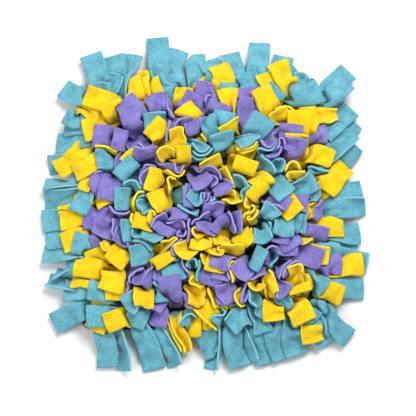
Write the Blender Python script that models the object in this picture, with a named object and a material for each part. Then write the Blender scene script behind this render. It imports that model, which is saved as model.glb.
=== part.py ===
"""A square snuffle mat: a rubber grid mat with fleece strips tied round its bars.

Each strip goes down one hole and up the next and is knotted once on top, so that its two
ends stand up as tails. The strips are tied in square rings, one colour to a ring, and the
tails lean further outwards ring by ring, from upright at the centre to flat at the rim.
The strips of one side of a ring touch at their knots, so they are one solid: a row of
knots, the cloth turned down into the holes between them, and two tails on each knot.

Millimetres in the named sizes below, metres in Blender. +Z is up, and the origin is the
centre of the mat's underside.
"""

import math

import bmesh
import bpy
from mathutils import Vector

MM = 0.001

# The rubber grid mat.
MAT_SIDE = 280.0
MAT_CORNER_RADIUS = 13.0
MAT_THICK = 4.0
HOLES_PER_ROW = 13
PITCH = 21.5  # from hole to hole, and so from knot to knot
HOLE_SIDE = 12.8
CORNER_STEPS = 5  # straight lengths in each rounded corner

# The knots, which sit on the bars between two holes.
GAP = 0.3  # between cloth and rubber
KNOT_LONG = 11.0  # along the row
KNOT_WIDE = 9.8  # across the row
KNOT_TOP = 12.0  # height of the knot's top above the floor
TURN_BOTTOM = 0.8  # how near the floor the cloth in the holes comes

# The two tails of a strip: one lies open, and the other is curled in across its width.
NECK_SPAN = 11.9  # where the gathered strip leaves the knot
NECK_THICK = 3.8
OPEN_SPAN = 20.6
OPEN_THICK = 2.6
CURLED_SPAN = 12.4
CURLED_THICK = 3.6
LIFT = 3.0  # how far every second open tail lies above its neighbours

# How unevenly the tails lie: sine waves along each side, which start elsewhere on every
# side, with the angle from knot to knot in radians.
SWING = 2.4  # degrees either way at the outermost ring, and less inwards
SWING_WAVE = 2.4
SHORTENING = 0.08  # share of the length that the shortest tails lack
SHORTENING_WAVE = 1.9

# One row for each ring of strips, from the centre outwards.
#   ring     holes between the ring and the centre of the mat
#   fan      degrees that the last open tail of a side turns towards the corner
#   open     way of the outer tails: (outwards, upwards) from the knot's top, in mm,
#            from the neck to the tip
#   curled   the same for the inner tails, which stand a little steeper
RINGS = [
    {"ring": 1, "name": "purple_centre", "colour": "purple", "fan": 0,
     "open": [(0.6, 12.0), (3.0, 46.0)],
     "curled": [(0.0, 12.0), (0.6, 50.0)]},
    {"ring": 2, "name": "yellow_inner", "colour": "yellow", "fan": 6,
     "open": [(1.2, 12.0), (5.0, 47.0)],
     "curled": [(0.0, 12.0), (0.5, 49.0)]},
    {"ring": 3, "name": "teal_inner", "colour": "teal", "fan": 20,
     "open": [(4.0, 10.0), (18.0, 41.0)],
     "curled": [(0.5, 12.0), (5.0, 47.0)]},
    {"ring": 4, "name": "purple_outer", "colour": "purple", "fan": 28,
     "open": [(5.0, 10.0), (30.0, 33.0)],
     "curled": [(1.5, 12.0), (16.0, 43.0)]},
    {"ring": 5, "name": "yellow_outer", "colour": "yellow", "fan": 34,
     "open": [(6.0, 9.0), (22.0, 15.0), (43.0, 13.5)],
     "curled": [(2.0, 11.0), (13.0, 24.0), (29.0, 32.0)]},
    {"ring": 6, "name": "teal_edge", "colour": "teal", "fan": 38,
     "open": [(7.0, 2.0), (25.0, -3.0), (55.0, -8.6)],
     "curled": [(3.5, 7.0), (24.0, 7.5), (50.0, 2.0)]},
]

# The four sides of a ring: name, and degrees that the front side is turned about +Z.
SIDES = [("front", 0), ("right", 90), ("back", 180), ("left", 270)]

COLOURS = {
    "teal": (0.19, 0.55, 0.64),
    "yellow": (0.95, 0.72, 0.03),
    "purple": (0.30, 0.25, 0.62),
    "rubber": (0.02, 0.05, 0.06),
}


def clear_scene():
    for thing in list(bpy.data.objects):
        bpy.data.objects.remove(thing, do_unlink=True)


def material(name, colour, roughness):
    made = bpy.data.materials.new(name)
    made.use_nodes = True
    shader = made.node_tree.nodes["Principled BSDF"]
    shader.inputs["Base Color"].default_value = (*colour, 1.0)
    shader.inputs["Roughness"].default_value = roughness
    shader.inputs["Metallic"].default_value = 0.0
    return made


def square(centre_x, centre_y, side):
    """The corners of a square hole."""
    half = side / 2
    return [
        (centre_x - half, centre_y - half),
        (centre_x + half, centre_y - half),
        (centre_x + half, centre_y + half),
        (centre_x - half, centre_y + half),
    ]


def rounded_square(side, radius, steps):
    """A square outline about the origin with its corners rounded by arcs."""
    inset = side / 2 - radius
    corners = [(inset, -inset), (inset, inset), (-inset, inset), (-inset, -inset)]
    points = []
    for quarter, (x, y) in enumerate(corners):
        for step in range(steps + 1):
            angle = math.radians(90 * (quarter - 1 + step / steps))
            points.append((x + radius * math.cos(angle), y + radius * math.sin(angle)))
    return points


def add_outline(curve, points):
    spline = curve.splines.new("POLY")
    spline.points.add(len(points) - 1)
    for point, (x, y) in zip(spline.points, points):
        point.co = (x * MM, y * MM, 0.0, 1.0)
    spline.use_cyclic_u = True


def grid_mat(collection):
    """The rubber mat: a flat rounded square with a grid of square holes."""
    curve = bpy.data.curves.new("base_mat", "CURVE")
    curve.dimensions = "2D"
    curve.fill_mode = "BOTH"
    curve.extrude = MAT_THICK / 2 * MM
    add_outline(curve, rounded_square(MAT_SIDE, MAT_CORNER_RADIUS, CORNER_STEPS))
    first = -(HOLES_PER_ROW - 1) / 2 * PITCH
    for row in range(HOLES_PER_ROW):
        for column in range(HOLES_PER_ROW):
            add_outline(curve, square(first + column * PITCH, first + row * PITCH, HOLE_SIDE))
    mat = bpy.data.objects.new("base_mat", curve)
    mat.location.z = MAT_THICK / 2 * MM
    mat.data.materials.append(material("rubber", COLOURS["rubber"], 0.8))
    collection.objects.link(mat)


def knot_places(count):
    """The knots' distances along the row from its middle."""
    return [(i - (count - 1) / 2) * PITCH for i in range(count)]


def cut(bm, geometry, place, direction):
    bmesh.ops.bisect_plane(bm, geom=geometry, plane_co=place, plane_no=direction)


def knot_row(bm, places):
    """A bar along X through the knots, with a face below for each link between two knots
    and two faces on top of each knot, an inner one and an outer one."""
    low, high = places[0] - KNOT_LONG / 2, places[-1] + KNOT_LONG / 2
    bottom = MAT_THICK + GAP
    bmesh.ops.create_cube(bm, size=1.0)
    bmesh.ops.scale(bm, verts=bm.verts, vec=(high - low, KNOT_WIDE, KNOT_TOP - bottom))
    middle = Vector(((low + high) / 2, 0.0, (bottom + KNOT_TOP) / 2))
    bmesh.ops.translate(bm, verts=bm.verts, vec=middle)
    for x in [x + side * KNOT_LONG / 2 for x in places for side in (-1, 1)][1:-1]:
        cut(bm, bm.verts[:] + bm.edges[:] + bm.faces[:], (x, 0, 0), (1, 0, 0))
    for x in places:
        top = face_at(bm, x, 1)
        cut(bm, [top] + top.edges[:] + top.verts[:], (0, 0, 0), (0, 1, 0))


def face_at(bm, x, up, y=0.0):
    """The row's upward or downward face that is nearest to the place x, y."""
    bm.normal_update()
    facing = [face for face in bm.faces if face.normal.z * up > 0.9]
    return min(facing, key=lambda face: (face.calc_center_median().xy - Vector((x, y))).length)


def pull_out(bm, face, places):
    """Extrudes a face and puts its corners, in their order, at the given places."""
    made = bmesh.ops.extrude_discrete_faces(bm, faces=[face])["faces"][0]
    for corner, place in zip(made.verts, places):
        corner.co = place
    return made


def section(centre, along, across, span, thick, signs):
    """The four corners of a tail's cross-section, for the signs of a face's corners."""
    return [
        centre + along * (side * span / 2) + across * (depth * thick / 2)
        for side, depth in signs
    ]


def tail(bm, face, way, sizes, heading):
    """Grows a tail from a face on top of a knot, through a cross-section for each point of
    its way, which bends in the upright plane through the heading.

    The heading is measured from the outward direction, -Y, towards +X. The sizes are the
    span and the thickness at each point.
    """
    root = face.calc_center_median()
    signs = [
        (math.copysign(1, corner.co.x - root.x), math.copysign(1, corner.co.y - root.y))
        for corner in face.verts
    ]
    upward = Vector((0.0, 0.0, 1.0))
    before = (0.0, 0.0)
    for i, (point, (span, thick)) in enumerate(zip(way, sizes)):
        turned = heading * (i + 1) / len(way)
        outward = Vector((math.sin(turned), -math.cos(turned), 0.0))
        sideways = Vector((math.cos(turned), math.sin(turned), 0.0))
        after = way[min(i + 1, len(way) - 1)]
        slope = math.atan2(after[1] - before[1], after[0] - before[0])
        across = upward * math.cos(slope) - outward * math.sin(slope)
        centre = root + outward * point[0] + upward * point[1]
        face = pull_out(bm, face, section(centre, sideways, across, span, thick, signs))
        before = point


def turn_in_hole(bm, x):
    """The cloth that goes down into the hole at x, between two knots."""
    face = face_at(bm, x, -1)
    pull_out(bm, face, [Vector((*corner.co.xy, TURN_BOTTOM)) for corner in face.verts])


def adjusted(way, share, lift):
    """A way with its outward lengths times the share, and raised beyond its neck."""
    return [(out * share, up + (lift if i else 0.0)) for i, (out, up) in enumerate(way)]


def strips(collection, row, side, turn):
    """One side of a ring: its row of knots with their tails, turned into place."""
    places = knot_places(2 * row["ring"])
    bm = bmesh.new()
    knot_row(bm, places)
    for x in places[:-1]:
        turn_in_hole(bm, x + PITCH / 2)
    curl = [(NECK_SPAN, NECK_THICK)] + [(CURLED_SPAN, CURLED_THICK)] * 2
    swing = math.radians(SWING) * row["ring"] / len(RINGS)
    for i, x in enumerate(places):
        fan = math.radians(row["fan"]) * x / places[-1]
        flare = [(NECK_SPAN, NECK_THICK)] + [(OPEN_SPAN * math.cos(fan), OPEN_THICK)] * 2
        wave = math.sin(SWING_WAVE * i + row["ring"] + turn)
        share = 1.0 - SHORTENING * (1.0 + math.sin(SHORTENING_WAVE * i + turn)) / 2
        outer = face_at(bm, x, 1, -KNOT_WIDE / 4)
        lift = LIFT if i % 2 else 0.0
        tail(bm, outer, adjusted(row["open"], share, lift), flare, fan + swing * wave)
        inner = face_at(bm, x, 1, KNOT_WIDE / 4)
        tail(bm, inner, adjusted(row["curled"], share, 0.0), curl, fan / 2)
    bmesh.ops.scale(bm, verts=bm.verts, vec=(MM, MM, MM))
    name = f"{row['name']}_strips_{side}"
    mesh = bpy.data.meshes.new(name)
    bm.to_mesh(mesh)
    bm.free()
    made = bpy.data.objects.new(name, mesh)
    angle = math.radians(turn)
    distance = row["ring"] * PITCH * MM
    made.location = (math.sin(angle) * distance, -math.cos(angle) * distance, 0.0)
    made.rotation_euler.z = angle
    mesh.materials.append(bpy.data.materials[f"fleece_{row['colour']}"])
    collection.objects.link(made)


def main():
    clear_scene()
    collection = bpy.data.collections.new("snuffle_mat")
    bpy.context.scene.collection.children.link(collection)
    for colour in ("teal", "yellow", "purple"):
        material(f"fleece_{colour}", COLOURS[colour], 0.95)
    grid_mat(collection)
    for row in RINGS:
        for side, turn in SIDES:
            strips(collection, row, side, turn)


main()
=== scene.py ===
"""The looks of a square snuffle mat: 168 fleece strips knotted onto a rubber grid mat.

The order is that of the work: the view, the rubber mat, the knots, the cut ends of the strips in each
colour, the cloth pushed apart by its own thickness, and then the strips as pieces, ring by ring.
Lengths are in millimetres until a mesh is made, and metres from there.
"""

import math

import bpy
import mathutils
import numpy as np
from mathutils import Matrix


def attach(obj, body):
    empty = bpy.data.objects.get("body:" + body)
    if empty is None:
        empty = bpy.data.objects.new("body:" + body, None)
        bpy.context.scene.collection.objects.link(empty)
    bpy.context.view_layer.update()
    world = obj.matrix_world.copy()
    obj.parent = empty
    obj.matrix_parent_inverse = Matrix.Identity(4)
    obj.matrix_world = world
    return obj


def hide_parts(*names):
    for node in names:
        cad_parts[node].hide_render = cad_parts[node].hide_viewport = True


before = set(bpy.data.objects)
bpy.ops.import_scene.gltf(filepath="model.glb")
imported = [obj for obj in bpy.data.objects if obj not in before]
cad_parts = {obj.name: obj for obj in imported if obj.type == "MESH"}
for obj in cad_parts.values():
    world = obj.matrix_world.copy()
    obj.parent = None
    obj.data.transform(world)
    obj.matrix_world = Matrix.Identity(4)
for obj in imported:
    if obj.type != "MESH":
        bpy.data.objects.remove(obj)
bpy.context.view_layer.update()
MM = 0.001

# ------------------------------------------------
# The view. The mat lies on a pale table and is seen from the front, steeply from above, through
# a long lens. It comes first because the ends of the strips are placed as they are seen from it.
# ------------------------------------------------

VIEW_STEEPNESS = math.radians(79.0)
VIEW_DISTANCE = 2400.0
VIEW_WIDTH = 470.0  # how much the view takes in from side to side, at the distance of the aim
VIEW_AIM = np.array([3.0, -4.0, 20.0])
VIEW_MIDDLE = np.array([3.4, -5.6])  # the aim, in the table's measures across and up
TO_CAMERA = np.array([0.0, -math.cos(VIEW_STEEPNESS), math.sin(VIEW_STEEPNESS)])
VIEW_ACROSS = np.array([1.0, 0.0, 0.0])
VIEW_UP = np.array([0.0, math.sin(VIEW_STEEPNESS), math.cos(VIEW_STEEPNESS)])

camera = bpy.data.objects.new("camera", bpy.data.cameras.new("camera"))
bpy.context.scene.collection.objects.link(camera)
camera.location = (VIEW_AIM + TO_CAMERA * VIEW_DISTANCE) * MM
camera.rotation_euler = (math.pi / 2 - VIEW_STEEPNESS, 0.0, 0.0)
camera.data.sensor_width = 36.0
camera.data.lens = camera.data.sensor_width * VIEW_DISTANCE / VIEW_WIDTH
bpy.context.scene.camera = camera


def seen_at(across, up, height):
    """Where a point lies that is seen at (across, up) and is this high above the table.

    The line of sight from the camera C through the place Q on the plane of the aim is
    C + s (Q - C), and s is chosen so that its height is the one given.
    """
    eye = VIEW_AIM + TO_CAMERA * VIEW_DISTANCE
    plane = (
        VIEW_AIM
        + (across - VIEW_MIDDLE[0])[:, None] * VIEW_ACROSS
        + (up - VIEW_MIDDLE[1])[:, None] * VIEW_UP
    )
    share = (height - eye[2]) / (plane[:, 2] - eye[2])
    return eye + share[:, None] * (plane - eye)


# ------------------------------------------------
# The base: one moulded mat of dark synthetic rubber with a grid of square holes. It is the CAD
# solid itself, and only gets its finish: a dull moulded skin with the faint grain of the mould.
# ------------------------------------------------


def to_linear(hex_colour):
    """An sRGB colour such as #FFE01E as linear red, green, blue and alpha 1."""
    parts = [int(hex_colour[i:i + 2], 16) / 255 for i in (1, 3, 5)]
    return [p / 12.92 if p <= 0.04045 else ((p + 0.055) / 1.055) ** 2.4 for p in parts] + [1.0]


def add_node(tree, kind, links=(), **settings):
    """Adds a node. A setting that names a socket sets it, any other sets the node itself; links
    are (output socket, name of the new node's input)."""
    made = tree.nodes.new(kind)
    for name, value in settings.items():
        socket = name.replace("_", " ").title()
        if socket in made.inputs and not hasattr(made, name):
            made.inputs[socket].default_value = value
        else:
            setattr(made, name, value)
    for output, name in links:
        tree.links.new(output, made.inputs[name])
    return made


def new_material(name, colour, roughness, specular):
    """A material with these values on its shader; returns it, its node tree and its shader."""
    made = bpy.data.materials.new(name)
    made.use_nodes = True
    shader = made.node_tree.nodes["Principled BSDF"]
    shader.inputs["Base Color"].default_value = to_linear(colour)
    shader.inputs["Roughness"].default_value = roughness
    shader.inputs["Specular IOR Level"].default_value = specular
    return made, made.node_tree, shader


# Moulded synthetic rubber: nearly black blue-green, a broad dull gloss and a fine moulded grain.
rubber, tree, shader = new_material("moulded_rubber", "#21393B", 0.62, 0.35)
place = add_node(tree, "ShaderNodeTexCoord")
GRAIN = 0.9 * MM
grain = add_node(tree, "ShaderNodeTexNoise", [(place.outputs["Object"], "Vector")], scale=1 / GRAIN)
bump = add_node(
    tree, "ShaderNodeBump", [(grain.outputs["Fac"], "Height")], strength=0.3, distance=0.2 * MM,
)
tree.links.new(bump.outputs["Normal"], shader.inputs["Normal"])
for material_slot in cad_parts["base_mat"].material_slots:
    material_slot.material = rubber

# ------------------------------------------------
# The knots. Each strip goes down one hole of the mat and up the next, is knotted once over the
# bar between them, and stands up as two tails. The strips are tied in six square rings, one
# colour to a ring, though a few of another colour are among them.
# ------------------------------------------------

PITCH = 21.5  # from hole to hole of the base, and so from knot to knot
ROOT_HEIGHT = 9.0  # where the tails leave the knot, inside it
ROOT_APART = 3.0  # how far each of them is from the knot's middle, across the row
RINGS = ["purple_centre", "yellow_inner", "teal_inner", "purple_outer", "yellow_outer", "teal_edge"]
SIDES = {"front": 0.0, "right": 90.0, "back": 180.0, "left": 270.0}
COLOURS = ["teal", "yellow", "purple"]

places = []
for ring in range(1, len(RINGS) + 1):
    for turn in SIDES.values():
        ahead = np.array([math.cos(math.radians(turn)), math.sin(math.radians(turn))])
        outwards = np.array([ahead[1], -ahead[0]])
        for i in range(2 * ring):
            along = (i - (2 * ring - 1) / 2) * PITCH
            places.append((ring, *(ahead * along + outwards * ring * PITCH), *ahead, *outwards))
places = np.array(places)
knot_ring = places[:, 0].astype(int)
knot_middle = places[:, 1:3]
knot_ahead = places[:, 3:5]
knot_outwards = places[:, 5:7]
knot_colour = np.array([COLOURS.index(name.split("_")[0]) for name in RINGS])[knot_ring - 1]

# ------------------------------------------------
# The cut ends of the strips. Each row is one tail's end: how far across and up the view its
# middle is seen (mm from the middle of the mat), how far it lies above or below the pile's
# usual height there (mm), which way it points (degrees, 0 to the right, 90 to the back), how
# steeply (90 is upright), how it is rolled about its length, and how much its width is curved
# (1/m, positive with the sides curled up, or away from where an upright end points). A row
# that stops after the steepness is neither rolled nor curved.
# ------------------------------------------------

# Teal ends on the table round the rim, from the left back corner clockwise.
TEAL_RIM = [
    (-161, 131, 0, 137, -12, 0, 5), (-130, 167, 0, 110, -12, 0, -15),
    (-104, 167, -2, 102, -10), (-82, 169, 1, 95, -12), (-54, 188, 2, 102, -8),
    (-29, 174, 0, 74, -10), (-13, 167, 0, 113, -10), (3, 161, 2, 122, -8),
    (25, 170, 0, 105, -10), (56, 152, 0, 55, -5), (61, 182, 2, 96, -8, 0, -6),
    (88, 166, -3, 85, -8), (95, 156, 0, 84, -10, 45, 20), (112, 147, 4, 60, 50, 0, 100),
    (163, 149, 0, 47, -10), (159, 139, 9, 54, -8, 0, -12), (164, 108, -2, 46, -10),
    (149, 104, 3, 28, -5), (170, 92, 0, 38, -8), (166, 80, 3, 52, -6, 0, 60),
    (171, 47, 0, -45, -10), (177, 14, 0, 4, -10, 0, -10), (181, -3, 2, 28, -10, 50, 20),
    (175, -35, 0, 18, -10), (171, -53, -2, -8, -8), (184, -68, 3, -5, 60, 0, 30),
    (160, -81, -3, -10, -8), (180, -99, 0, -6, -10, 0, -6), (138, -114, 1, -18, -6, 0, -20),
    (131, -135, 0, -30, -5), (165, -152, 0, -31, -10), (137, -161, -1, 302, -10, 0, 60),
    (105, -173, 1, 293, -8), (90, -177, 0, 288, -8), (69, -183, 2, 282, -8, 0, -8),
    (66, -148, 0, 288, -8, 0, 60), (54, -181, -1, 286, -8, 50, 20), (44, -186, 2, 302, -8),
    (13, -174, 1, 292, -8), (-8, -146, -4, 272, -8), (8, -190, -2, 276, -8, 55, 20),
    (-31, -184, -2, 278, -8, 52, 20),
    (-58, -190, 0, 270, -8), (-90, -191, 0, 262, -8, 50, 20), (-112, -187, 0, 262, -8),
    (-171, -137, 0, 208, -8), (-134, -127, 5, 184, -4, 0, 10), (-161, -98, 4, 181, -6, 0, -8),
    (-177, -90, -2, 187, -8, 60, 20), (-170, -83, 0, 182, -8, 65, 20), (-159, -75, 0, 200, -8, 35, 30),
    (-183, -58, 0, 190, -8, 30, 0), (-180, -43, -3, 186, -8, 0, -12), (-184, -21, 0, 196, -8),
    (-182, 4, -1, 170, -8, -35, 30), (-182, 19, 2, 178, -8, 30, 0), (-177, 43, -3, 176, -8, -25, 0),
    (-167, 67, -2, 165, -10), (-160, 86, -2, 165, -8),
    (-155, 102, 9, 112, -8, 0, -10),
]

# Teal ends on the slope of the pile, over the rim's.
TEAL_SLOPE = [
    (-118, 137, 5, 118, 45, 0, 60), (-101, 144, 4, 103, 50, 0, 50), (-56, 140, 6, 118, 0),
    (-40, 146, 4, 132, -4), (45, 147, 4, 126, 25), (84, 130, 8, 50, 0),
    (103, 137, 8, 112, 30, 0, 40), (130, 128, 8, 39, 0, 0, -10), (150, 74, 6, -35, 10, 0, 90),
    (126, 27, 4, 25, 10, 0, 10), (129, 9, 5, -5, 25, 0, 60), (128, 36, 8, 75, 75),
    (153, -50, 6, -6, 0, 0, -20), (136, -97, 7, -25, -4, 0, -15), (90, -128, 0, 285, -5, 0, 30),
    (26, -140, 9, 229, -2), (8, -124, 10, 272, 70, 0, 90), (-20, -127, 10, 120, 70, 0, 60),
    (-84, -139, 8, 236, -5, 0, -20), (-91, -120, 6, 245, 15, 0, 60), (-132, -98, 9, 176, 5, 0, 15),
    (-151, -46, 11, 190, -4, 0, -5), (-146, -12, 10, 232, -4), (-124, 50, 5, 180, 0, 0, 10),
    (-133, 55, 4, 130, 5, 0, 40), (13, 123, 2, 170, 30, 0, 60), (35, 120, 1, 175, 70, 0, 20),
]

# Teal ends that stand in the pile.
TEAL_PILE = [
    (-58, 103, 2, 95, 20), (22, 104, 6, 78, 10, 0, -10),
    (0, 104, 2, 92, 10), (11, 89, 3, 120, 60, 0, 60), (17, 80, 5, 105, 35),
    (71, 97, 6, 66, 10), (69, 71, 3, 120, 70, 0, 50), (54, 63, 5, -28, 80),
    (-6, 57, 5, 268, 80, 0, 75), (-2, 53, 2, 275, 80, 0, 70), (-9, 51, -2, 262, 75, 0, 60),
    (73, 46, 5, 40, 80, 0, 40), (91, 43, 2, 10, 70, 0, 110), (106, 22, 5, -40, 80, 0, 80),
    (80, -3, 4, 52, 15, 0, 80), (88, -41, 5, 274, 5, 0, 60), (110, -25, 2, -12, 0),
    (117, -23, -2, -20, 0, 0, 30), (95, 4, 6, -45, 5, 0, 50), (72, -33, 2, 250, 60, 0, 120),
    (66, -48, 3, 288, 10, 0, 90), (67, -67, 6, -28, 5), (82, -62, -4, -30, 70, 0, 90),
    (-96, 45, 6, 135, 5), (-80, 25, 3, 80, 60, 0, 80), (-102, 6, 6, 188, 30, 0, 20),
    (-95, -32, 5, 182, 30, 0, 20), (-90, -62, 6, 205, 5), (-78, -42, 2, 230, 50, 0, 80),
    (-73, -52, 1, 240, 40, 0, 60), (-62, -44, 4, 250, 30, 0, 30), (-76, 1, -2, 180, 60, 0, 100),
    (-76, -11, 0, 215, 40, 0, 80), (-15, -6, 2, 268, 20, 0, 70), (-21, -11, 4, 245, 60, 0, 10),
    (-7, 5, 3, 180, 80, 0, 10), (8, 13, 5, 135, 80, 0, 60), (43, 29, 1, 60, 60, 0, 80),
    (40, 15, 3, 135, 70),
    (-13, -64, 5, 90, 80, 0, 110), (-12, -78, 2, 200, 60, 0, 60),
    (-40, -60, 0, 240, 70, 0, 60), (-50, -112, 6, 262, 10, 0, -70), (-49, -96, 5, 262, 50, 0, 60),
    (-31, -88, 6, 285, 20), (49, -110, 4, 222, 75, 0, 50),
]

# Yellow ends on the slope, from the left back corner clockwise.
YELLOW_SLOPE = [
    (-136, 122, 7, 158, -3, 0, -8), (-106, 115, 7, 112, -2), (-137, 81, 4, 178, -4),
    (-148, 105, -3, 160, -6, 0, 40), (-83, 141, 4, 105, -3), (-67, 150, 5, 110, -5, 0, -15),
    (-72, 141, 0, 88, -3, 0, 30), (-44, 134, 5, 25, 75), (-25, 131, 3, 98, 0, 0, -10),
    (12, 156, 7, 118, -4, 0, -15), (37, 147, 5, 50, -4, 0, 10), (6, 141, 2, 140, 0, 0, 60),
    (24, 131, 11, 98, 6, 0, -10), (62, 131, 12, 100, -2, 0, -12), (80, 159, 10, 106, -3),
    (65, 146, 5, 112, 0, 0, 40), (92, 110, 4, 90, 60, 0, 90), (80, 107, 3, 120, 40, 0, 40),
    (106, 104, 6, 88, 15), (113, 90, 4, 92, 50), (127, 97, 5, 18, 0),
    (149, 95, 4, -4, -3, 0, 100), (103, 78, 7, 80, 75, 0, 12), (144, 45, 8, -22, -2, 0, -20),
    (161, 42, 4, 32, -5, 0, -10), (153, 13, 9, -40, -3, 0, -10), (130, -8, 2, 5, 0, 0, 60),
    (112, 2, 2, 45, 40, 0, 60), (157, -27, 8, -2, -4), (180, -70, 6, -3, -5),
    (141, -63, 1, -10, 0, 0, 60), (122, -83, 6, -10, 20, 0, -70), (156, -106, 7, -24, -5, 0, -60),
    (109, -101, 8, 281, 25, 0, -10), (124, -158, 7, 298, -8), (113, -135, 12, 291, -3, 0, -12),
    (79, -134, 10, 289, -4, 0, -15), (58, -99, 5, 268, 55, 0, 75), (35, -108, 5, 195, 75, 0, 100),
    (25, -141, 3, 318, -3, 0, 100), (13, -128, 7, 275, 60, 0, 50), (3, -145, 7, 272, -2, 0, -25),
    (-17, -152, 5, 248, -4), (-24, -170, 3, 278, -6, 0, 110), (-32, -171, 3, 283, -6, 0, 40),
    (-9, -120, 1, 270, 10, 0, 30), (-72, -121, 4, 268, 0, 0, 40),
    (-98, -113, 4, 262, -2), (-108, -100, 7, 246, -2), (-117, -100, 4, 225, 60),
    (-113, -137, 6, 208, -5), (-128, -144, 3, 228, -6, 0, 20), (-148, -73, 5, 184, -3),
    (-151, -85, 2, 190, -3, 0, 60), (-133, -68, -2, 215, 0, 0, 30), (-161, -46, 6, 200, -6),
    (-110, -55, 5, 262, 65, 0, 90), (-104, -70, 2, 240, 10), (-164, -18, 7, 180, -5, 0, -10),
    (-167, -10, 4, 190, -6), (-126, 3, 3, 200, 10, 0, 30), (-133, 12, 5, 234, 70),
    (-149, 33, 6, 182, -3), (-170, 38, 8, 190, -6, 0, -5), (-112, 64, 6, 84, 65, 0, 20),
]

# Yellow ends that stand in the pile.
YELLOW_PILE = [
    (-61, 89, 4, 148, 15, 0, -15), (-26, 110, 5, 122, 5), (-28, 87, 2, 92, 30, 0, 60),
    (-28, 66, 5, 100, 25, 0, -10), (10, 81, 5, 120, 75, 0, 15), (27, 90, 6, 118, 70),
    (47, 72, 3, 100, 55, 0, -60), (49, 59, 2, 300, 70, 0, 80), (-88, 60, 4, 140, 20),
    (-68, 29, 5, 152, 8), (-62, 0, 3, 210, 15), (-42, 26, 6, 178, 80, 0, 10),
    (-36, 45, 5, 105, 75, 0, 50), (-46, 64, 4, 100, 45, 0, 110), (-79, 9, 4, 150, 70, 0, 110),
    (-79, -23, 4, 215, 60, 0, 120), (-66, -12, 5, 120, 75, 0, 120), (-72, -36, 2, 258, 20),
    (6, 50, 5, 125, 60), (28, 30, 6, 28, 75), (27, 16, 5, 85, 80, 0, 110),
    (49, 51, 5, 72, 10), (71, 15, 3, -62, 5, 0, 40), (50, 20, 5, 150, 10),
    (48, 3, 5, 180, 80, 0, 40), (58, -8, 4, 0, 80, 0, 60), (53, -18, 3, 270, 75, 0, 110),
    (30, 0, 6, 285, 60, 0, 20), (-15, -29, 6, 185, 75, 0, 60), (-42, -70, 5, -62, 5),
    (-32, -61, 6, 224, 5, 0, 70), (-54, -43, 3, 100, 70, 0, 90), (-38, -37, 4, 90, 60, 0, 60),
    (-5, -54, 3, 266, 10, 0, 60), (13, -57, 6, 262, 75, 0, 75), (17, -48, 3, 260, 60, 0, 60),
    (44, -34, 6, 112, 75), (50, -50, 4, -60, 15), (30, -43, 4, 100, 50),
    (3, -66, 4, 250, 75, 0, 80), (9, -79, 3, 266, 15, 0, -40), (26, -77, 5, 185, 70, 0, 60),
    (-15, -88, 5, 237, 60), (8, -107, 6, 208, 75),
    (81, -85, 6, 30, 75, 0, 30), (103, -67, 6, 45, 75, 0, 50),
    (107, -45, 6, 262, 70, 0, 70), (98, 36, 7, 110, 65, 0, 80), (99, 47, 5, 90, 60, 0, 120),
    (103, -17, 1, 300, 10, 0, 40),
]

# Purple ends on the slope, from the left back corner clockwise.
PURPLE_SLOPE = [
    (-95, 116, 5, 134, 2, 0, -10), (-85, 107, 9, 100, 2, 0, -5), (-127, 76, 5, 177, 0),
    (-104, 75, 5, 165, 5), (-59, 123, 5, 118, 3), (-42, 107, 3, 60, 50, 0, 110),
    (4, 137, 3, 92, -2), (-9, 124, 5, 73, 5), (5, 122, 6, 80, 70, 0, 120),
    (3, 114, 4, 200, 60, 0, 100), (18, 115, 5, 68, 10, 0, 20), (46, 131, 4, 110, 3),
    (43, 118, 5, 95, 20, 0, -20), (138, 79, 6, 22, 0, 0, -15), (97, 89, 4, 95, 30, 0, 30),
    (102, 74, 6, 88, 25), (139, -39, 5, -8, 0, 30, 10), (133, -68, 6, -38, 0, 0, -5),
    (155, -69, 12, -6, -4, 0, -20), (118, -1, 6, 135, 70, 0, 60), (104, -9, 5, 262, 20, 0, -50),
    (96, -84, 3, 300, 50, 0, 30), (94, -71, 4, 88, 60, 0, 60), (92, -104, 4, 310, 30, 0, 60),
    (26, -117, 5, 285, 10, 0, -60), (13, -104, 4, 215, 30, 0, 30),
    (-30, -116, 7, 255, 5), (-55, -142, 3, 248, -2, 0, 20), (-62, -116, 4, 228, 5),
    (-84, -102, 4, 185, 75), (-127, -51, 5, 222, 75, 0, 10), (-118, -38, 3, 235, 30, 0, 20),
    (-139, -18, 6, 180, 0, 0, -5), (-99, -28, 5, 205, 75), (-94, -48, 3, 255, 30, 0, 80),
    (-97, -13, 4, 252, 70, 0, 50), (-127, 31, 6, 150, 2, 0, -10), (-110, 2, 3, 262, 5, 0, 40),
    (-103, 46, -3, 180, 40, 0, 60),
]

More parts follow.
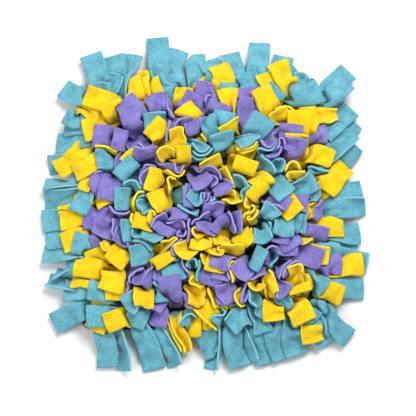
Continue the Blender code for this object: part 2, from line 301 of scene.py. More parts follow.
# Purple ends that stand in the pile, and round its middle.
PURPLE_PILE = [
    (-26, 95, 5, 110, 75, 0, 10), (-39, 80, 4, 180, 75, 0, 10), (-11, 95, 7, 113, 15),
    (73, 62, 5, 270, 80, 0, 120), (83, 72, 5, 90, 75, 0, 120), (81, 54, 1, 300, 50, 0, 60),
    (-70, 68, 5, 100, 30), (-64, 53, 6, 300, 70), (-73, 32, 0, 150, 40, 0, 60),
    (-54, 40, -3, 60, 50, 0, 60), (96, -6, 5, -33, 10, 0, 80), (95, 10, 3, -30, 70, 0, 110),
    (71, -50, 5, 135, 75, 0, 90), (82, -45, 2, 250, 40), (92, -57, 4, 268, 20, 0, -70),
    (100, -52, 3, 300, 30, 0, 30), (-31, 31, 5, 225, 78, 0, 60), (-24, 11, 7, 170, 50),
    (2, 16, 6, -62, 20, 0, 40), (13, 38, 6, 60, 70, 0, 60), (12, 28, 4, 30, 60, 0, 60),
    (25, 7, 4, -55, 20, 0, 90), (-3, 4, 3, 180, 80, 0, 140), (1, 0, 2, 270, 80, 0, 120),
    (10, 5, 4, 88, 35, 0, 20), (-6, -18, 5, 160, 75), (11, -19, 5, 122, 10),
    (2, -38, 4, 262, 25, 0, 20), (31, -22, 6, 35, 70, 0, -20), (42, -20, 7, 10, 50),
    (-56, -17, 5, 135, 65, 0, 50), (-49, -36, 2, 240, 20, 0, 20), (-30, -18, 5, 275, 20, 0, -70),
    (-30, -37, 3, 262, 70, 0, 80), (-30, -21, 3, 90, 70, 0, 40), (-21, -31, 5, 180, 75, 0, 50),
    (-38, -47, 6, 140, 75, 0, 70), (-78, -80, 5, 150, 70, 0, 70), (-67, -80, 6, 140, 60),
    (-72, -92, 4, 262, 30, 0, -20), (-47, -91, 4, 268, 15, 0, 60), (-42, -75, 3, 100, 30),
    (-26, -71, 5, 210, 75, 0, 60), (6, -92, 4, 258, 12, 0, -10),
    (17, -81, 3, 262, 15, 0, 60), (19, -92, 4, 285, 30, 0, 80), (36, -83, 6, 225, 10),
    (58, -83, 6, 290, 50), (43, -99, 4, 160, 75, 0, 30),
]

END_TABLES = {
    "teal": TEAL_RIM + TEAL_SLOPE + TEAL_PILE,
    "yellow": YELLOW_SLOPE + YELLOW_PILE,
    "purple": PURPLE_SLOPE + PURPLE_PILE,
}
listed = [row for name in COLOURS for row in END_TABLES[name]]
end_rows = np.array([row + (0,) * (7 - len(row)) for row in listed], float)
end_colour = np.repeat(np.arange(len(COLOURS)), [len(END_TABLES[name]) for name in COLOURS])

# How high the pile stands, by how far from the middle of the mat an end is.
PILE_AT = [0.0, 62.0, 90.0, 110.0, 130.0, 150.0, 170.0, 190.0]
PILE_HEIGHT = [46.0, 46.0, 40.0, 33.0, 23.0, 13.0, 6.0, 3.5]
LOWEST_END = 2.5

from_middle = np.abs(end_rows[:, :2]).max(1)
end_height = np.maximum(LOWEST_END, np.interp(from_middle, PILE_AT, PILE_HEIGHT) + end_rows[:, 2])
end_place = seen_at(end_rows[:, 0], end_rows[:, 1], end_height)
end_heading = np.radians(end_rows[:, 3])
end_rise = np.radians(end_rows[:, 4])
end_flat = np.stack([np.cos(end_heading), np.sin(end_heading)], 1)  # which way it points, in plan
end_way = np.concatenate([end_flat * np.cos(end_rise)[:, None], np.sin(end_rise)[:, None]], 1)

# ------------------------------------------------
# Which knot each end belongs to. The strips leave their knots upwards and bend over as they are
# pushed about, so a level end lies a good way off its knot and an upright one almost over it.
# Both ends of a knot are mostly one strip; where their colours differ, two strips share its bar.
# ------------------------------------------------

LEVEL_REACH = [44.0, 34.0, 13.0]  # how far in plan a level end lies from its knot
REACH_RISE = [0.0, 20.0, 48.0]  # at these heights above the knot
UPRIGHT_REACH = 5.0
OFF_COURSE = 10.0  # mm off its wished place that counts as 1
LEVEL_WEIGHT, UPRIGHT_WEIGHT = 2.0, 0.6  # a level strip shows its whole way, an upright one its end
RING_COLOUR = 1.0  # what another colour than the ring's counts at first
SAME_STRIP = 2.0  # and what another colour than the knot's strip counts afterwards
MORE_EACH_ROUND = 0.5  # share by which that grows in each round
ENDS_ABOUT = 3  # so many of the nearest ends of a colour show how well it suits a knot
KEEP_RING = 8.0  # mm by which another colour must suit it better to take the place of the ring's
ROUNDS_OF_CHOICE = 6
OUTERMOST_ROOT = 6.1 * PITCH
TOO_LONG = 72.0  # mm from knot to end that no tail reaches
OUT_OF_REACH = 100.0  # what such an end counts, apart from each mm of its distance


def best_partners(cost):
    """For each row the column of its own that makes the sum over all rows least.

    This is the Hungarian method. The rows are given a column one after another, each by the
    cheapest chain of exchanges, at prices that keep all earlier choices the best ones.
    """
    rows, columns = cost.shape
    row_price = np.zeros(rows + 1)
    column_price = np.zeros(columns + 1)
    partner = np.zeros(columns + 1, int)
    for row in range(1, rows + 1):
        partner[0] = row
        column = 0
        cheapest = np.full(columns + 1, np.inf)
        came_from = np.zeros(columns + 1, int)
        used = np.zeros(columns + 1, bool)
        while partner[column]:
            used[column] = True
            price = cost[partner[column] - 1] - row_price[partner[column]] - column_price[1:]
            better = ~used[1:] & (price < cheapest[1:])
            cheapest[1:][better] = price[better]
            came_from[1:][better] = column
            nearest = 1 + int(np.argmin(np.where(used[1:], np.inf, cheapest[1:])))
            step = cheapest[nearest]
            row_price[partner[used]] += step
            column_price[used] -= step
            cheapest[~used] -= step
            column = nearest
        while column:
            partner[column] = partner[came_from[column]]
            column = came_from[column]
    found = np.zeros(rows, int)
    taken = np.nonzero(partner[1:])[0]
    found[partner[1:][taken] - 1] = taken
    return found


knots = len(knot_middle)
root_knot = np.tile(np.arange(knots), 2)
root_side = np.repeat([1.0, -1.0], knots)[:, None] * ROOT_APART
root_place = knot_middle[root_knot] + knot_outwards[root_knot] * root_side

end_rise_above = end_place[:, 2] - ROOT_HEIGHT
level_reach = np.interp(end_rise_above, REACH_RISE, LEVEL_REACH)
reach = UPRIGHT_REACH + (level_reach - UPRIGHT_REACH) * np.cos(np.maximum(end_rise, 0.0)) ** 2
wished_root = np.clip(end_place[:, :2] - end_flat * reach[:, None], -OUTERMOST_ROOT, OUTERMOST_ROOT)
off_course = np.linalg.norm(root_place[:, None, :] - wished_root[None], axis=2)
straight = np.linalg.norm(root_place[:, None, :] - end_place[None, :, :2], axis=2)
straight = np.hypot(straight, end_rise_above[None])
weight = UPRIGHT_WEIGHT + (LEVEL_WEIGHT - UPRIGHT_WEIGHT) * np.cos(end_rise) ** 2
cost = weight * (off_course / OFF_COURSE) ** 2
cost += np.where(straight > TOO_LONG, OUT_OF_REACH + straight, 0.0)

by_nearness = [np.sort(off_course[:, end_colour == c], 1) for c in range(len(COLOURS))]
nearest = np.stack([ends[:, :ENDS_ABOUT].mean(1) for ends in by_nearness])
together = nearest[:, :knots] + nearest[:, knots:]
together -= KEEP_RING * (knot_colour == np.arange(len(COLOURS))[:, None])
strip_colour = knot_colour
tail_end = best_partners(cost + RING_COLOUR * (strip_colour[root_knot][:, None] != end_colour))
for turn in range(ROUNDS_OF_CHOICE):
    tail_colour = end_colour[tail_end]
    outer, inner = tail_colour[:knots], tail_colour[knots:]
    keeps_outer = together[outer, np.arange(knots)] <= together[inner, np.arange(knots)]
    choice = np.where(keeps_outer, outer, inner)
    strip_colour = np.where(outer == inner, outer, choice)
    other_strip = strip_colour[root_knot][:, None] != end_colour
    tail_end = best_partners(cost + SAME_STRIP * (1.0 + MORE_EACH_ROUND * turn) * other_strip)
tail_colour = end_colour[tail_end]
outer = tail_colour[:knots]

# ------------------------------------------------
# The tails as they would lie with nothing in their way. The middle line of each is a Bezier
# curve that leaves its knot upwards and comes to its end as the table says. Its two handles are
# the same share of the way between, unless that makes the tail longer or shorter than it is cut.
# ------------------------------------------------

RIM_WIDTHS = (23.5, 26.5)  # the strips are cut by hand, those of the rim narrower
PILE_WIDTHS = (25.0, 28.5)
RIM_FROM = 135.0  # how far from the middle of the mat the ends of the rim begin
SHORTEST_TAIL, LONGEST_TAIL = 55.0, 74.0
STRAIGHTEST, SLACK = 1.02, 1.35  # how much longer than the way a short tail is and may be
ROOT_LEAN = 0.4  # how far a tail leans towards its end where it leaves its knot
EASY_HANDLE = 0.42  # share of the way from knot to end
HANDLES = (0.1, 1.6)  # and the shortest and longest
FINE_POINTS, HALVINGS = 41, 14  # points along a curve, and steps by which its handles are found
ROWS, COLUMNS = 15, 8  # points along and across a tail
GATHERED = 0.78  # share of the width that shows at the knot
GATHERED_LENGTH = 0.26  # share of the length over which it opens out
LEAST_CURL = 1e-4  # 1/mm, which is as good as flat
UNEVEN_CUP = 12.0  # 1/m, how unevenly the strips are curved across their width
KNOT_CURL = 0.105  # 1/mm, the curve across the width at the knot
CURL_LENGTH = 0.5  # share of the length over which that gives way to the curve at the end
WAVE, WAVE_LENGTH = 1.3, (28.0, 50.0)  # height and length of the waves along a strip
WAVE_SHARES = (0.3, 1.6)  # of that height, from strip to strip
WAVE_START = 6.3  # radians, anywhere in a full turn
FLAT_LENGTH = 0.4  # share of the length over which the waves rise
SWAY = 2.5  # how far a strip bends to the side
TWIST = math.radians(14.0)  # how far it is turned about its length half way
TINY = 1e-9  # added to a length before something is divided by it


def eased(share):
    """0 below 0, 1 above 1, and 3 s^2 - 2 s^3 between."""
    share = np.clip(share, 0.0, 1.0)
    return share * share * (3.0 - 2.0 * share)


def unit(vectors):
    """Each vector divided by its length."""
    return vectors / (np.linalg.norm(vectors, axis=-1, keepdims=True) + TINY)


def bezier(start, first, second, finish, t):
    """(1-t)^3 A + 3 (1-t)^2 t B + 3 (1-t) t^2 C + t^3 D, for every tail and every t."""
    t = t[None, :, None]
    a, b, c, d = (point[:, None, :] for point in (start, first, second, finish))
    return (1 - t) ** 3 * a + 3 * (1 - t) ** 2 * t * b + 3 * (1 - t) * t ** 2 * c + t ** 3 * d


def length_of(line):
    """The sum of the steps between the points of each line."""
    return np.linalg.norm(np.diff(line, axis=1), axis=2).sum(1)


tails = len(root_place)
draw = np.random.default_rng(7)
at_rim = from_middle[tail_end] > RIM_FROM
tail_width = np.where(at_rim, draw.uniform(*RIM_WIDTHS, tails), draw.uniform(*PILE_WIDTHS, tails))
root = np.concatenate([root_place, np.full((tails, 1), ROOT_HEIGHT)], 1)
tail_place = end_place[tail_end]
tail_way = end_way[tail_end]
tail_across = np.stack([-end_flat[tail_end, 1], end_flat[tail_end, 0], np.zeros(tails)], 1)
tail_roll = np.radians(end_rows[tail_end, 5])
tail_cup = (end_rows[tail_end, 6] + draw.normal(0.0, UNEVEN_CUP, tails)) * MM

way_there = np.linalg.norm(tail_place - root, axis=1)
lean = unit(np.concatenate([(tail_place - root)[:, :2], np.zeros((tails, 1))], 1))
root_way = unit(ROOT_LEAN * lean + np.array([0.0, 0.0, 1.0]))
fine = np.linspace(0.0, 1.0, FINE_POINTS)
handle = (EASY_HANDLE * way_there)[:, None]
line = bezier(root, root + root_way * handle, tail_place - tail_way * handle, tail_place, fine)
least_length = np.clip(SHORTEST_TAIL, STRAIGHTEST * way_there, SLACK * way_there)
wished_length = np.clip(length_of(line), least_length, np.maximum(LONGEST_TAIL, least_length))
short, long = np.full(tails, HANDLES[0]), np.full(tails, HANDLES[1])
for _ in range(HALVINGS):
    handle = ((short + long) / 2 * way_there)[:, None]
    line = bezier(root, root + root_way * handle, tail_place - tail_way * handle, tail_place, fine)
    too_long = length_of(line) > wished_length
    long = np.where(too_long, handle[:, 0] / way_there, long)
    short = np.where(too_long, short, handle[:, 0] / way_there)

# Even steps along each curve.
steps = np.linalg.norm(np.diff(line, axis=1), axis=2)
so_far = np.concatenate([np.zeros((tails, 1)), np.cumsum(steps, 1)], 1)
tail_length = so_far[:, -1]
middle = np.stack([
    np.stack([np.interp(np.linspace(0, s[-1], ROWS), s, p[:, k]) for k in range(3)], 1)
    for s, p in zip(so_far, line)
])
along = unit(np.gradient(middle, axis=1))

# The direction across each tail is carried back from its end to its knot without twisting.
across = np.zeros_like(middle)
lift = np.cross(along[:, -1], unit(tail_across))
across[:, -1] = unit(tail_across) * np.cos(tail_roll)[:, None] + lift * np.sin(tail_roll)[:, None]
for row in range(ROWS - 2, -1, -1):
    kept = across[:, row + 1]
    across[:, row] = unit(kept - along[:, row] * (kept * along[:, row]).sum(1, keepdims=True))
share = np.linspace(0.0, 1.0, ROWS)[None, :]
half_way = np.sin(math.pi * share)
lift = np.cross(along, across)
twist = (draw.normal(0.0, TWIST, (tails, 1)) * half_way)[..., None]
across = across * np.cos(twist) + lift * np.sin(twist)
outward = np.cross(along, across)
waves = draw.uniform(*WAVE_LENGTH, (tails, 1))
wave = 2.0 * math.pi * share * tail_length[:, None] / waves
wave = np.sin(wave + draw.uniform(0.0, WAVE_START, (tails, 1)))
wave = WAVE * draw.uniform(*WAVE_SHARES, (tails, 1)) * wave * eased(share / FLAT_LENGTH)
sway = draw.normal(0.0, SWAY, (tails, 1)) * half_way
middle = middle + wave[..., None] * outward + sway[..., None] * across

width_share = GATHERED + (1.0 - GATHERED) * eased(share / GATHERED_LENGTH)
at_end = eased(share / CURL_LENGTH)
curl = KNOT_CURL * (1.0 - at_end) + tail_cup[:, None] * at_end
curl = np.where(np.abs(curl) < LEAST_CURL, LEAST_CURL, curl)[..., None]
from_line = np.linspace(-0.5, 0.5, COLUMNS) * (width_share * tail_width[:, None])[..., None]
wished = (
    middle[:, :, None, :]
    + (np.sin(curl * from_line) / curl)[..., None] * across[:, :, None, :]
    + ((1.0 - np.cos(curl * from_line)) / curl)[..., None] * outward[:, :, None, :]
)

# ------------------------------------------------
# The cloth pushed apart. Fleece is thick and soft: the tails can't pass through each other, so
# each is where its neighbours leave room. All tails grow together from small, out of their
# knots, towards the shapes above. After each step of growth, every tail keeps its lengths along,
# across and over its diagonals, resists bending, and is pushed off any other cloth, the mat and
# the table. The points of a tail form a grid, and each rule moves two points at a time.
# ------------------------------------------------

PULL = 0.07  # share of the way to its wished place that a point is pulled in one round
LAST_PULL = 0.6  # share of that pull with which the last rounds begin, and it dies away
APART = 3.7  # least distance between points of different cloth, once they are full-grown
APART_EARLY = 1.02  # how much sooner than the cloth that distance has grown
LOOK_AHEAD = 1.2  # mm more, for the pairs that may meet before they are looked for again
ROUNDS_AHEAD = 3
FULL_PUSHES = 5  # that move a point by their sum
FIRM_ALONG, FIRM_ACROSS, FIRM_OVER = 0.9, 0.8, 0.3  # share of a wrong length mended in one round
STIFF_ALONG, STIFF_ACROSS = 0.25, 0.12  # and of the distance over two steps, which resists bending
TWO_ALONG, TWO_ACROSS = 1.99, 1.96  # that distance, in steps
TABLE = 1.6  # height of a point that lies on the table, which is above half the thickness
MAT_HALF = 138.0
MAT_EDGE = 6.0  # over which the cloth comes down off the mat
ON_MAT = 4.0
HELD_ROWS = 2  # of a tail's points, that stay where the knot holds them
NEIGHBOURS = 2  # points of a tail this near along and across aren't pushed off each other
SMALLEST = 0.12  # share of its size that a tail starts at
GROWTH_STEPS, ROUNDS_EACH, LAST_ROUNDS = ((30, 9, 90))
LONGEST_MOVE = 1.0  # mm in one round
LONGEST_PULL = 0.25  # mm in one round, so that cloth in the way holds a strip back


def near_pairs(points, radius, tail, row, column):
    """Every two points closer than the radius, found through a grid of cells of that size: the
    points are sorted by cell, and each cell is paired with itself and half of its neighbours."""
    cell = np.floor((points - points.min(0)) / radius).astype(np.int64) + 1
    size = cell.max(0) + 2
    key = (cell[:, 0] * size[1] + cell[:, 1]) * size[2] + cell[:, 2]
    order = np.argsort(key, kind="stable")
    cells, start = np.unique(key[order], return_index=True)
    count = np.diff(np.append(start, len(key)))
    around = [(a, b, c) for a in (0, 1) for b in (-1, 0, 1) for c in (-1, 0, 1)]
    around = [offset for offset in around if offset >= (0, 0, 0)]
    ones, others = [], []
    for a, b, c in around:
        beside = cells + (a * size[1] + b) * size[2] + c
        found = np.minimum(np.searchsorted(cells, beside), len(cells) - 1)
        here = np.nonzero(cells[found] == beside)[0]
        there = found[here]
        amount = count[here] * count[there]
        which = np.repeat(np.arange(len(here)), amount)
        local = np.arange(amount.sum()) - np.repeat(np.cumsum(amount) - amount, amount)
        first = start[here][which] + local // count[there][which]
        second = start[there][which] + local % count[there][which]
        wanted = first < second if (a, b, c) == (0, 0, 0) else np.ones(len(first), bool)
        ones.append(order[first[wanted]])
        others.append(order[second[wanted]])
    one, other = np.concatenate(ones), np.concatenate(others)
    gap = points[one] - points[other]
    near = (gap * gap).sum(1) < radius * radius
    one, other = one[near], other[near]
    beside = (
        (tail[one] == tail[other])
        & (np.abs(row[one] - row[other]) <= NEIGHBOURS)
        & (np.abs(column[one] - column[other]) <= NEIGHBOURS)
    )
    held = (row[one] < HELD_ROWS) & (row[other] < HELD_ROWS)
    return one[~beside & ~held], other[~beside & ~held]


def keep_apart(first, second, rest, firmness):
    """Moves both ends of each pair by half of what their distance lacks, times the firmness."""
    gap = second - first
    length = np.linalg.norm(gap, axis=-1, keepdims=True) + TINY
    move = gap * ((length - rest) / length) * (firmness / 2)
    first += move
    second -= move


def keep_shape(cloth, step_along, step_across, step_over):
    """The rules inside a tail, each taken over every second pair of points in turn."""
    for o in (0, 1):
        keep_apart(cloth[:, o:ROWS - 1:2], cloth[:, o + 1:ROWS:2], step_along, FIRM_ALONG)
        keep_apart(cloth[:, :, o:COLUMNS - 1:2], cloth[:, :, o + 1:COLUMNS:2], step_across, FIRM_ACROSS)
    for o in (0, 1):
        over = step_over[:, o:ROWS - 1:2]
        keep_apart(cloth[:, o:ROWS - 1:2, :-1], cloth[:, o + 1:ROWS:2, 1:], over, FIRM_OVER)
        keep_apart(cloth[:, o:ROWS - 1:2, 1:], cloth[:, o + 1:ROWS:2, :-1], over, FIRM_OVER)
    two_along, two_across = TWO_ALONG * step_along, TWO_ACROSS * step_across
    for o in range(4):
        first, second = cloth[:, o:ROWS - 2:4], cloth[:, o + 2:ROWS:4]
        first, second = first[:, :second.shape[1]], second[:, :first.shape[1]]
        keep_apart(first, second, two_along, STIFF_ALONG)
        first, second = cloth[:, :, o:COLUMNS - 2:4], cloth[:, :, o + 2:COLUMNS:4]
        first, second = first[:, :, :second.shape[2]], second[:, :, :first.shape[2]]
        keep_apart(first, second, two_across, STIFF_ACROSS)


def corners_of(grid):
    """For the faces of a grid, the views of their four corners."""
    return grid[:, :-1, :-1], grid[:, 1:, :-1], grid[:, :-1, 1:], grid[:, 1:, 1:]


def all_points(grid):
    """The points of the tails, and after them the middles of their faces."""
    middles = sum(corners_of(grid)) / 4
    return np.concatenate([grid.reshape(-1, grid.shape[-1]), middles.reshape(-1, grid.shape[-1])])


def push_off(cloth, one, other, least):
    """Parts points that are closer than the least distance, each by half of what is lacking. Where
    more than five pushes meet in a point, it moves by five times their mean. What pushes the
    middle of a face pushes its corners."""
    points = all_points(cloth)
    gap = points[one] - points[other]
    length = np.sqrt((gap * gap).sum(1)) + TINY
    hit = length < least
    one, other = one[hit], other[hit]
    push = gap[hit] * ((least - length[hit]) / length[hit] / 2)[:, None]
    pushes = np.bincount(one, minlength=len(points)) + np.bincount(other, minlength=len(points))
    moved = [np.bincount(one, p, len(points)) - np.bincount(other, p, len(points)) for p in push.T]
    total = np.stack([*moved, pushes], 1)
    at_points = total[:cloth.size // 3].reshape(*cloth.shape[:3], 4)
    for corner in corners_of(at_points):
        corner += total[cloth.size // 3:].reshape(corner.shape)
    cloth += at_points[..., :3] / np.maximum(1.0, at_points[..., 3:] / FULL_PUSHES)


def rest_on_ground(points):
    """No point below the table, or below the rubber over the mat."""
    from_centre = np.abs(points[:, :2]).max(1)
    ground = TABLE + ON_MAT * (1.0 - eased((from_centre - MAT_HALF) / MAT_EDGE))
    points[:, 2] = np.maximum(points[:, 2], ground)


grid = np.meshgrid(np.arange(tails), np.arange(ROWS), np.arange(COLUMNS), indexing="ij")
point_tail, point_row, point_column = all_points(np.stack(grid, -1).astype(float)).T
root_point = root[:, None, None, :]
cloth = root_point + SMALLEST * (wished - root_point)
grown = SMALLEST
for step in range(GROWTH_STEPS + 1):
    growth = SMALLEST + (1.0 - SMALLEST) * step / GROWTH_STEPS
    goal = root_point + growth * (wished - root_point)
    cloth = root_point + (cloth - root_point) * (growth / grown)
    grown = growth
    step_along = (tail_length / (ROWS - 1) * growth)[:, None, None, None]
    step_across = (tail_width[:, None] / (COLUMNS - 1) * growth * width_share)[..., None, None]
    step_over = np.sqrt(step_along ** 2 + ((step_across[:, 1:] + step_across[:, :-1]) / 2) ** 2)
    least = APART * min(1.0, growth * APART_EARLY)
    last = step == GROWTH_STEPS
    for turn in range(LAST_ROUNDS if last else ROUNDS_EACH):
        if turn % ROUNDS_AHEAD == 0:
            points = all_points(cloth)
            one, other = near_pairs(points, least + LOOK_AHEAD, point_tail, point_row, point_column)
        before = cloth.copy()
        towards = PULL * (goal - cloth)
        size = np.linalg.norm(towards, axis=-1, keepdims=True) + TINY
        towards *= np.minimum(1.0, LONGEST_PULL * growth / size)
        cloth += towards * (LAST_PULL * (1.0 - turn / LAST_ROUNDS) if last else 1.0)
        keep_shape(cloth, step_along, step_across, step_over)
        push_off(cloth, one, other, least)
        rest_on_ground(cloth.reshape(-1, 3))
        move = cloth - before
        size = np.linalg.norm(move, axis=-1, keepdims=True) + TINY
        cloth = before + move * np.minimum(1.0, LONGEST_MOVE / size)
        cloth[:, :HELD_ROWS] = goal[:, :HELD_ROWS]
        cloth = np.ascontiguousarray(cloth)

# ------------------------------------------------
# The fleece: polyester pile fabric, knitted and brushed on both sides, dyed in three colours.
# To the eye it is matt, with a soft light rim where the nap stands against the light, small tufts in
# the nap, and light that comes through thin folds in a deeper shade. Each face's colour is painted
# between the dye and a painted shade of it, so the tufts and patches of the nap show painted highlights
# and painted shade.
# ------------------------------------------------

NAP = 1.3 * MM  # tufts of the nap, drawn about three times their real size so that they show
RIB = 2.6 * MM  # rows of the knit, drawn at twice their real width so that they show
BLOTCH = 14.0 * MM  # where the nap lies one way or the other
ONE_BAND = 0.314  # the wave's scale at which it has one band in each metre
BLOTCH_SHARE, RIB_SHARE = 0.5, 0.05  # of the painted light and shade, beside the nap's
RIB_HEIGHT, NAP_HEIGHT = 0.12, 0.6 * MM  # the rows' as a share of the nap's
SHADE_FROM, LIGHT_TO = 0.42, 0.98  # where on the noise the darker and the lighter of the two painted colours lie
THROUGH_FOLDS = 0.25  # share of the light that goes into the cloth
FLEECE_DEPTH = 2.0 * MM  # and how far
# Each dye as it looks lit, and below it the same dye with painted shade; the nap's noise moves every
# face between the two.
FLEECE = {"teal": "#7AC0D2", "yellow": "#FBDC20", "purple": "#978CD6"}
FLEECE_PAINTED_SHADE = {"teal": "#377C8E", "yellow": "#D2A602", "purple": "#4E4686"}
# The cut shows the inside of the cloth, which isn't matted, and the cut edges catch the light: a thin
# lighter line round each end, partly the cut's own look and partly painted highlight.
FLEECE_CUT_HIGHLIGHT = {"teal": "#86C9D8", "yellow": "#FFE440", "purple": "#AA9FE4"}


def brushed_fleece_painted_light_and_shade(name, kind, light, shade):
    """The cloth's face, or its cut edge: the nap's noise moves its colour between a lighter and a
    darker colour, which paint light and shade into it.
    """
    made, tree, shader = new_material(f"{kind}_{name}", light, 0.95, 0.15)
    for socket, value in (
        ("Sheen Weight", 0.15), ("Sheen Roughness", 0.5), ("Subsurface Weight", THROUGH_FOLDS),
        ("Subsurface Radius", (1.0, 0.7, 0.5)), ("Subsurface Scale", FLEECE_DEPTH),
    ):
        shader.inputs[socket].default_value = value
    place = add_node(tree, "ShaderNodeTexCoord")
    here = place.outputs["Object"]
    nap = add_node(tree, "ShaderNodeTexNoise", [(here, "Vector")], scale=1 / NAP, detail=2.0)
    blotch = add_node(tree, "ShaderNodeTexNoise", [(here, "Vector")], scale=1 / BLOTCH, detail=1.0)
    ribs = add_node(
        tree, "ShaderNodeTexWave", [(place.outputs["UV"], "Vector")],
        scale=ONE_BAND / RIB, distortion=1.5, detail=1.0, detail_scale=2.0, bands_direction="DIAGONAL",
    )
    mixed = add_node(
        tree, "ShaderNodeMath", [(blotch.outputs["Fac"], 0), (nap.outputs["Fac"], 2)],
        operation="MULTIPLY_ADD",
    )
    mixed.inputs[1].default_value = BLOTCH_SHARE
    ribbed = add_node(
        tree, "ShaderNodeMath", [(ribs.outputs["Fac"], 0), (mixed.outputs[0], 2)],
        operation="MULTIPLY_ADD",
    )
    ribbed.inputs[1].default_value = RIB_SHARE
    ramp = add_node(tree, "ShaderNodeValToRGB", [(ribbed.outputs[0], "Fac")])
    ramp.color_ramp.elements[0].position = SHADE_FROM
    ramp.color_ramp.elements[0].color = to_linear(shade)
    ramp.color_ramp.elements[1].position = LIGHT_TO
    ramp.color_ramp.elements[1].color = to_linear(light)
    tree.links.new(ramp.outputs["Color"], shader.inputs["Base Color"])
    rough = add_node(
        tree, "ShaderNodeMath", [(ribs.outputs["Fac"], 0), (nap.outputs["Fac"], 2)],
        operation="MULTIPLY_ADD",
    )
    rough.inputs[1].default_value = RIB_HEIGHT
    bump = add_node(
        tree, "ShaderNodeBump", [(rough.outputs[0], "Height")], strength=0.7, distance=NAP_HEIGHT,
    )
    tree.links.new(bump.outputs["Normal"], shader.inputs["Normal"])
    return made


# Each face is painted between its dye and a painted shade of it.
fleece = [brushed_fleece_painted_light_and_shade(name, "brushed_fleece_painted_light_and_shade", FLEECE[name], FLEECE_PAINTED_SHADE[name]) for name in COLOURS]
# Each cut edge is painted between a lighter colour, partly painted highlight, and the dye.
cut_edge_highlight = [brushed_fleece_painted_light_and_shade(name, "cut_fleece_highlight", FLEECE_CUT_HIGHLIGHT[name], FLEECE[name]) for name in COLOURS]

# ------------------------------------------------
# The strips as pieces: those of a ring in its own colour are one piece, which stands for the
# four rows of its ring, and those of another colour among the rings are one piece for each
# colour. A strip is cut 25 mm wide and 160 mm long, tied once, and left with two square ends.
# ------------------------------------------------

CLOTH_THICK = 2.3
EDGE_SQUARE, CORNER_SQUARE = 0.6, 0.8  # how square the cut edges and their corners are, from 0 to 1
BOLT = 200.0  # how far apart on the cloth the strips may have been cut, so that no two look alike
KNOT_ROWS, KNOT_COLUMNS = 8, 6
KNOT_MIDDLE = 7.0  # height of the middle of a knot's turn over the bar
KNOT_ROUND = (7.0, 3.5)  # half the turn's length and height
KNOT_TURN = math.radians(40.0)  # how far past level the turn goes on, down into the holes
KNOT_HALF_WIDTH = 8.2
KNOT_NECK = 3.0  # half the width in the holes
KNOT_SWELL = (0.55, 0.6)  # how far it has widened level with the middle, and how much more on top
KNOT_BULGE = 0.37  # how far the cloth stands out in the middle, as a share of the half width


def grid_faces(rows, columns, count):
    """The four-sided faces of a number of equal grids, which follow each other in the points."""
    index = np.arange(rows * columns).reshape(rows, columns)
    quads = np.stack([index[:-1, :-1], index[1:, :-1], index[1:, 1:], index[:-1, 1:]], -1)
    return (quads.reshape(1, -1, 4) + (np.arange(count) * rows * columns)[:, None, None]).reshape(-1, 4)


def knot_cloth(which):
    """The cloth of each knot over its bar: a lump that comes up out of one hole and goes down
    the other.

    At the angle a round the turn its middle line is x = -X cos(a), z = M + Z sin(a), and across
    it, at the angle b from 0 to pi, it goes w cos(b) to the side and stands out by a share of
    w sin(b). The half width w is greatest on top of the bar.
    """
    a = np.linspace(-KNOT_TURN, math.pi + KNOT_TURN, KNOT_ROWS)[:, None]
    b = np.linspace(0.0, math.pi, KNOT_COLUMNS)[None, :]
    half = KNOT_NECK + (KNOT_HALF_WIDTH - KNOT_NECK) * eased(KNOT_SWELL[0] + KNOT_SWELL[1] * np.sin(a))
    out = KNOT_BULGE * half * np.sin(b)
    x = -(KNOT_ROUND[0] + out) * np.cos(a)
    z = KNOT_MIDDLE + (KNOT_ROUND[1] + out) * np.sin(a)
    y = -np.cos(b) * half
    flat = (
        knot_middle[which][:, None, None, :]
        + x[None, :, :, None] * knot_ahead[which][:, None, None, :]
        + y[None, :, :, None] * knot_outwards[which][:, None, None, :]
    )
    return np.concatenate([flat, np.broadcast_to(z[None, :, :, None], flat.shape[:3] + (1,))], -1)


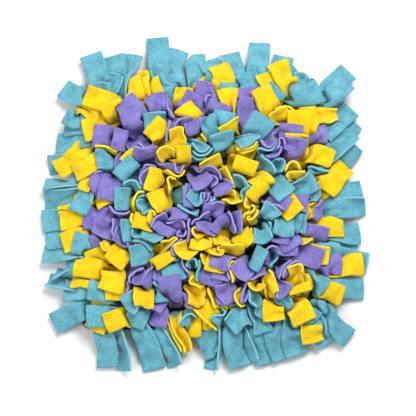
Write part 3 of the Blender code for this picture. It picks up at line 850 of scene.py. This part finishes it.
def strips_piece(name, of_tails, straps_of):
    """The mesh of these tails and of the cloth over these knots: single sheets, given their
    thickness and rounded edges by the modifiers, with the corners of the cut ends held sharp."""
    of_tails = np.nonzero(of_tails)[0]
    sheets = cloth[of_tails]
    straps = knot_cloth(np.nonzero(straps_of)[0])
    points = np.concatenate([sheets.reshape(-1, 3), straps.reshape(-1, 3)]) * MM
    faces = np.concatenate([
        grid_faces(ROWS, COLUMNS, len(of_tails)),
        grid_faces(KNOT_ROWS, KNOT_COLUMNS, len(straps)) + sheets.size // 3,
    ])
    mesh = bpy.data.meshes.new(name)
    mesh.vertices.add(len(points))
    mesh.vertices.foreach_set("co", points.ravel())
    mesh.loops.add(faces.size)
    mesh.loops.foreach_set("vertex_index", faces.ravel())
    mesh.polygons.add(len(faces))
    mesh.polygons.foreach_set("loop_start", np.arange(len(faces)) * 4)
    mesh.polygons.foreach_set("loop_total", np.full(len(faces), 4))
    mesh.polygons.foreach_set("use_smooth", np.ones(len(faces), bool))
    mesh.update(calc_edges=True)
    shift = draw.uniform(0.0, BOLT, (len(of_tails), 1, 1))
    u = np.linspace(0.0, 1.0, COLUMNS)[None, None, :] * tail_width[of_tails][:, None, None] + shift
    u = np.broadcast_to(u, sheets.shape[:3])
    v = np.linspace(0.0, 1.0, ROWS)[None, :, None] * tail_length[of_tails][:, None, None] + shift
    v = np.broadcast_to(v, sheets.shape[:3])
    strap_uv = (straps[..., :2] + BOLT).reshape(-1, 2)
    uv = np.concatenate([np.stack([u, v], -1).reshape(-1, 2), strap_uv]) * MM
    mesh.uv_layers.new(name="cloth").data.foreach_set("uv", uv[faces.ravel()].ravel())
    corner = np.zeros((len(of_tails), ROWS, COLUMNS))
    corner[:, -1, [0, -1]] = CORNER_SQUARE
    sharp = np.concatenate([corner.ravel(), np.zeros(straps.size // 3)])
    mesh.attributes.new("crease_vert", "FLOAT", "POINT").data.foreach_set("value", sharp)
    mesh.validate()
    piece = bpy.data.objects.new(name, mesh)
    bpy.context.scene.collection.objects.link(piece)
    thickness = piece.modifiers.new("thickness", "SOLIDIFY")
    thickness.thickness = CLOTH_THICK * MM
    thickness.offset = 0.0
    thickness.use_even_offset = False
    thickness.material_offset_rim = 1
    thickness.edge_crease_inner = thickness.edge_crease_outer = EDGE_SQUARE
    rounding = piece.modifiers.new("rounding", "SUBSURF")
    rounding.levels = rounding.render_levels = 1
    return piece


def declare(piece, colour):
    """Gives a piece of strips its fleece face and cut edge and attaches it to the root. A strip's cut
    size is its width by 160 mm."""
    piece.data.materials.append(fleece[colour])
    piece.data.materials.append(cut_edge_highlight[colour])
    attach(piece, "root")


for ring, ring_name in enumerate(RINGS, start=1):
    colour = COLOURS.index(ring_name.split("_")[0])
    of_tails = (knot_ring[root_knot] == ring) & (tail_colour == colour)
    piece = strips_piece(f"{ring_name}_fleece", of_tails, (knot_ring == ring) & (outer == colour))
    declare(piece, colour)
    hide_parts(*(f"{ring_name}_strips_{side}" for side in SIDES))

for colour, colour_name in enumerate(COLOURS):
    of_tails = (tail_colour == colour) & (knot_colour[root_knot] != colour)
    straps_of = (outer == colour) & (knot_colour != colour)
    declare(strips_piece(f"{colour_name}_fleece_among_others", of_tails, straps_of), colour)

# ------------------------------------------------
# The table and the light: a plain white sheet, a large soft light high at the back right, a
# weaker one at the left, and the pale room all round. Their places are in metres, the lights'
# power in watts.
# ------------------------------------------------

TABLE_SIZE = 6.0
ROOM_LIGHT = 0.42

bpy.ops.mesh.primitive_plane_add(size=TABLE_SIZE)
floor = bpy.context.object
floor.name = "floor"
paper, tree, shader = new_material("matt_paper", "#F4F4F4", 0.95, 0.0)
floor.data.materials.append(paper)

world = bpy.data.worlds.new("room")
world.use_nodes = True
room = world.node_tree.nodes["Background"]
room.inputs["Color"].default_value = (1.0, 1.0, 1.0, 1.0)
room.inputs["Strength"].default_value = ROOM_LIGHT
bpy.context.scene.world = world


def soft_light(name, place, size, power):
    """A square light at this place, turned towards the mat."""
    light = bpy.data.lights.new(name, "AREA")
    light.size = size
    light.energy = power
    holder = bpy.data.objects.new(name, light)
    bpy.context.scene.collection.objects.link(holder)
    holder.location = place
    holder.rotation_euler = mathutils.Vector(place).to_track_quat("Z", "Y").to_euler()


soft_light("light_back_right", (0.45, 0.8, 1.7), 0.9, 31.0)
soft_light("light_left", (-1.2, -0.4, 1.4), 1.0, 12.0)
bpy.context.scene.view_settings.view_transform = "Standard"
